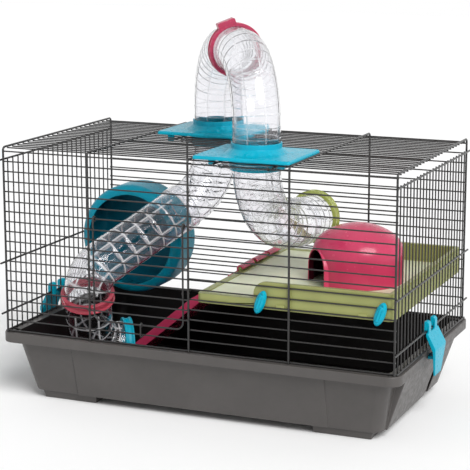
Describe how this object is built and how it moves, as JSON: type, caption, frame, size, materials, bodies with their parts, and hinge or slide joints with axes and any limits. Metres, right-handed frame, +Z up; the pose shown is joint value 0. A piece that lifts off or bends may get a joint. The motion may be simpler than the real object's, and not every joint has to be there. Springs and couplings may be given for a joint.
{
  "type": "hamster cage",
  "caption": "Small wire pet cage on a deep moulded tray, with a hinged front door, clear climbing tubes, an exercise wheel, a shelf, a ramp and a domed house.",
  "frame": {"origin": "middle of the footprint, on the table the feet stand on", "axes": "+X to the right along the front, +Y to the back, +Z up; the door is on the -Y side"},
  "size_m": [0.5182, 0.2912, 0.4597],
  "materials": {
    "tray": "fine moulded grain",
    "wire": "smooth black coating",
    "blue": "gloss",
    "deep_blue": "gloss",
    "clear": "clear",
    "pink": "gloss",
    "lime": "gloss",
    "teal": "translucent gloss",
    "teal_dark": "gloss",
    "olive": "satin",
    "crimson": "satin"
  },
  "bodies": {
    "cage": {"arch_back_left": "clear", "arch_back_right": "clear", "arch_front_left": "clear", "arch_front_right": "clear", "arch_ring": "pink", "back_coupling": "clear", "back_line_wires": "wire", "base_tray": "tray", "base_wires": "wire", "cage_hoops": "wire", "drop_back_left": "clear", "drop_back_right": "clear", "drop_front_left": "clear", "drop_front_right": "clear", "foot_elbow_left": "clear", "foot_elbow_right": "clear", "foot_ring": "blue", "front_coupling": "clear", "front_end_tube": "clear", "front_line_wires": "wire", "house": "crimson", "left_end_bars": "wire", "left_end_wires": "wire", "lime_ring": "lime", "lock_ring_back": "deep_blue", "lock_ring_front": "deep_blue", "platform": "olive", "right_end_bars": "wire", "right_end_wires": "wire", "roof_connector_back": "blue", "roof_connector_front": "blue", "roof_hole_wires": "wire", "roof_line_wires": "wire", "slope_ring": "pink", "slope_tube_left": "clear", "slope_tube_right": "clear", "wheel_axle": "teal_dark", "wheel_bracket": "teal_dark", "wheel_cap": "teal_dark"},
    "door": {"door_frame": "wire", "door_wires": "wire"},
    "latch": {"door_latch": "wire"},
    "wheel": {"wheel_drum": "teal"},
    "ramp": {"ramp": "crimson"},
    "knob_front_left": {"knob_front_left": "blue"},
    "knob_front_right": {"knob_front_right": "blue"},
    "knob_back_left": {"knob_back_left": "deep_blue"},
    "knob_back_right": {"knob_back_right": "deep_blue"},
    "clip_left": {"clip_left": "blue"},
    "clip_right": {"clip_right": "blue"}
  },
  "joints": [
    {"name": "door_hinge", "type": "hinge", "parent": "cage", "child": "door", "pos_m": [-0.06775, -0.1354, 0.2321], "axis": [-1, 0, 0], "range_deg": [0, 135]},
    {"name": "latch_hinge", "type": "hinge", "parent": "door", "child": "latch", "pos_m": [-0.064, -0.13815, 0.1116], "axis": [-1, 0, 0], "range_deg": [0, 60]},
    {"name": "wheel_spin", "type": "hinge", "parent": "cage", "child": "wheel", "pos_m": [-0.1715, 0.0745, 0.168], "axis": [0, 1, 0], "continuous": true},
    {"name": "ramp_hinge", "type": "hinge", "parent": "cage", "child": "ramp", "pos_m": [0.0072, 0.0485, 0.1585], "axis": [0, 1, 0], "range_deg": [0, 10]},
    {"name": "knob_front_left_turn", "type": "hinge", "parent": "cage", "child": "knob_front_left", "pos_m": [0.085, -0.136, 0.15377], "axis": [0, -1, 0], "range_deg": [-70, 20]},
    {"name": "knob_front_right_turn", "type": "hinge", "parent": "cage", "child": "knob_front_right", "pos_m": [0.226, -0.136, 0.15377], "axis": [0, -1, 0], "range_deg": [-70, 20]},
    {"name": "knob_back_left_turn", "type": "hinge", "parent": "cage", "child": "knob_back_left", "pos_m": [0.085, 0.136, 0.15377], "axis": [0, 1, 0], "range_deg": [-20, 70]},
    {"name": "knob_back_right_turn", "type": "hinge", "parent": "cage", "child": "knob_back_right", "pos_m": [0.226, 0.136, 0.15377], "axis": [0, 1, 0], "range_deg": [-20, 70]},
    {"name": "clip_left_hinge", "type": "hinge", "parent": "cage", "child": "clip_left", "pos_m": [-0.24555, -0.0121, 0.109], "axis": [0, 1, 0], "range_deg": [0, 100]},
    {"name": "clip_right_hinge", "type": "hinge", "parent": "cage", "child": "clip_right", "pos_m": [0.24555, -0.0121, 0.109], "axis": [0, -1, 0], "range_deg": [0, 100]}
  ]
}
